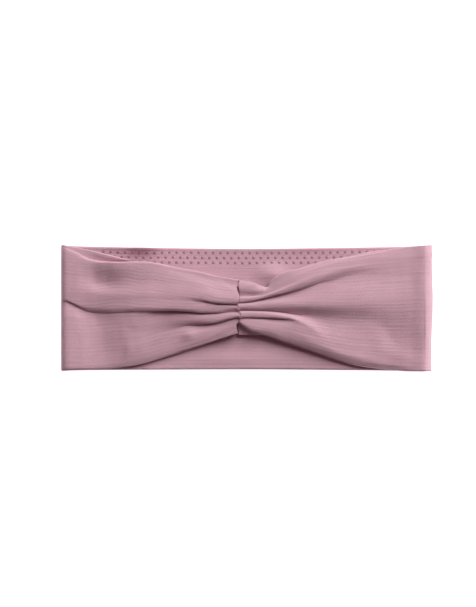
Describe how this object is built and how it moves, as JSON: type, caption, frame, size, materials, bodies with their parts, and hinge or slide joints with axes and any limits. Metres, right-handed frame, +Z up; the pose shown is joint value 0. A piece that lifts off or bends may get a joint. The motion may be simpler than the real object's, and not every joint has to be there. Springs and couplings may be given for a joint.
{
  "type": "sports headband",
  "caption": "Wide two-ply stretch fabric headband with a gathered front seam and silicone grip dots inside the back; the loop opens for a head.",
  "frame": {"origin": "under the middle of the band as it lies flat on its back, on the surface it lies on", "axes": "+X along the band towards its right side fold, +Y towards its top edge, +Z up out of its gathered front"},
  "size_m": [0.24, 0.082, 0.0143],
  "materials": {
    "shell_cloth": "smooth matte stretch knit, dusty mauve pink",
    "lining_cloth": "soft matte stretch knit, dusty mauve pink",
    "silicone": "satin silicone print",
    "thread": "polyester thread, darker mauve",
    "elastic": "matte elastic tape"
  },
  "bodies": {
    "back_half": {"outer_back": "shell_cloth", "lining_back": "lining_cloth", "grip_strip": "silicone", "edge_thread_back_top": "thread", "edge_thread_back_bottom": "thread"},
    "front_half": {"outer_front_left": "shell_cloth", "outer_front_right": "shell_cloth", "lining_front_left": "lining_cloth", "lining_front_right": "lining_cloth", "gather_stay_elastic": "elastic", "gather_thread": "thread", "edge_thread_front_left_top": "thread", "edge_thread_front_left_bottom": "thread", "edge_thread_front_right_top": "thread", "edge_thread_front_right_bottom": "thread"}
  },
  "joints": [
    {"name": "loop_open", "type": "slide", "parent": "back_half", "child": "front_half", "axis": [0, 0, 1], "range_m": [0, 0.11], "stiffness_N_per_m": 30}
  ]
}
